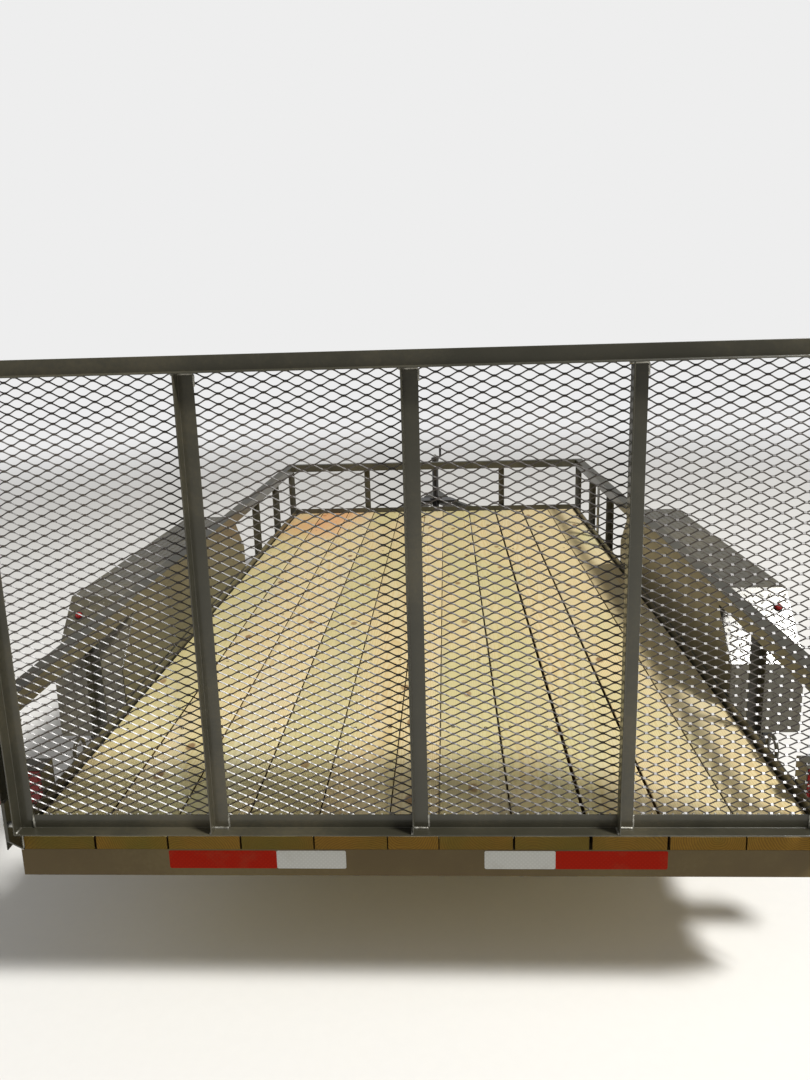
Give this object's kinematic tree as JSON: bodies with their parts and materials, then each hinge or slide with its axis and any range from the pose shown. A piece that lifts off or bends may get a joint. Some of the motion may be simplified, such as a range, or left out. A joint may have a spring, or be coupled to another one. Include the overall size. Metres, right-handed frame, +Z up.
{
  "type": "tandem-axle utility trailer with ramp gate",
  "caption": "Open utility trailer with a plank deck, angle-iron rails, tandem axles, an A-frame tongue with jack and a mesh ramp gate that swings down.",
  "frame": {"origin": "middle of the bounding box on the ground", "axes": "+X to the trailer's right, +Y forward to the coupler, +Z up"},
  "size_m": [2.5236, 5.4526, 1.689],
  "materials": {
    "frame_paint": "dark pewter gloss paint",
    "running_gear_paint": "black paint",
    "jack_paint": "black gloss paint",
    "rim_paint": "white paint",
    "tyre_rubber": "black rubber",
    "deck_wood": "treated pine, weathered",
    "red_lens": "clear red plastic",
    "zinc_steel": "zinc plated"
  },
  "bodies": {
    "trailer": {"frame_front": "frame_paint", "frame_rear": "frame_paint", "crossmembers": "frame_paint", "deck_boards": "deck_wood", "top_rail_front": "frame_paint", "uprights_front": "frame_paint", "marker_lights": "red_lens", "tail_light_boxes": "frame_paint", "tail_light_lenses": "red_lens", "axle_front": "running_gear_paint", "axle_rear": "running_gear_paint", "spring_hangers": "running_gear_paint", "equalizers": "running_gear_paint", "u_bolts": "zinc_steel", "coupler": "frame_paint", "coupler_latch": "frame_paint", "jack_tube": "jack_paint", "jack_crank": "jack_paint", "hinge_ears": "frame_paint", "latch_keepers": "frame_paint", "tie_loops": "frame_paint", "uprights_right": "frame_paint", "uprights_left": "frame_paint", "frame_side_right": "frame_paint", "frame_side_left": "frame_paint", "top_rail_right": "frame_paint", "top_rail_left": "frame_paint", "fender_right": "frame_paint", "fender_left": "frame_paint", "fender_back_right": "frame_paint", "fender_back_left": "frame_paint", "leaf_springs_right": "running_gear_paint", "leaf_springs_left": "running_gear_paint", "tongue_beam_right": "frame_paint", "tongue_beam_left": "frame_paint"},
    "gate": {"gate_frame": "frame_paint", "gate_bars": "frame_paint", "gate_mesh": "frame_paint", "gate_pins": "zinc_steel"},
    "jack_leg": {"jack_leg": "jack_paint"},
    "wheel_front_left": {"tyre_front_left": "tyre_rubber", "rim_front_left": "rim_paint"},
    "wheel_front_right": {"tyre_front_right": "tyre_rubber", "rim_front_right": "rim_paint"},
    "wheel_rear_left": {"tyre_rear_left": "tyre_rubber", "rim_rear_left": "rim_paint"},
    "wheel_rear_right": {"tyre_rear_right": "tyre_rubber", "rim_rear_right": "rim_paint"}
  },
  "joints": [
    {"name": "gate_hinge", "type": "hinge", "parent": "trailer", "child": "gate", "pos_m": [0, -2.69776, 0.552], "axis": [1, 0, 0], "range_deg": [0, 117]},
    {"name": "jack_slide", "type": "slide", "parent": "trailer", "child": "jack_leg", "axis": [0, 0, 1], "range_m": [0, 0.254]},
    {"name": "wheel_front_left_spin", "type": "hinge", "parent": "trailer", "child": "wheel_front_left", "pos_m": [-1.144, -0.52636, 0.344], "axis": [1, 0, 0], "continuous": true},
    {"name": "wheel_front_right_spin", "type": "hinge", "parent": "trailer", "child": "wheel_front_right", "pos_m": [1.144, -0.52636, 0.344], "axis": [1, 0, 0], "continuous": true},
    {"name": "wheel_rear_left_spin", "type": "hinge", "parent": "trailer", "child": "wheel_rear_left", "pos_m": [-1.144, -1.39036, 0.344], "axis": [1, 0, 0], "continuous": true},
    {"name": "wheel_rear_right_spin", "type": "hinge", "parent": "trailer", "child": "wheel_rear_right", "pos_m": [1.144, -1.39036, 0.344], "axis": [1, 0, 0], "continuous": true}
  ]
}
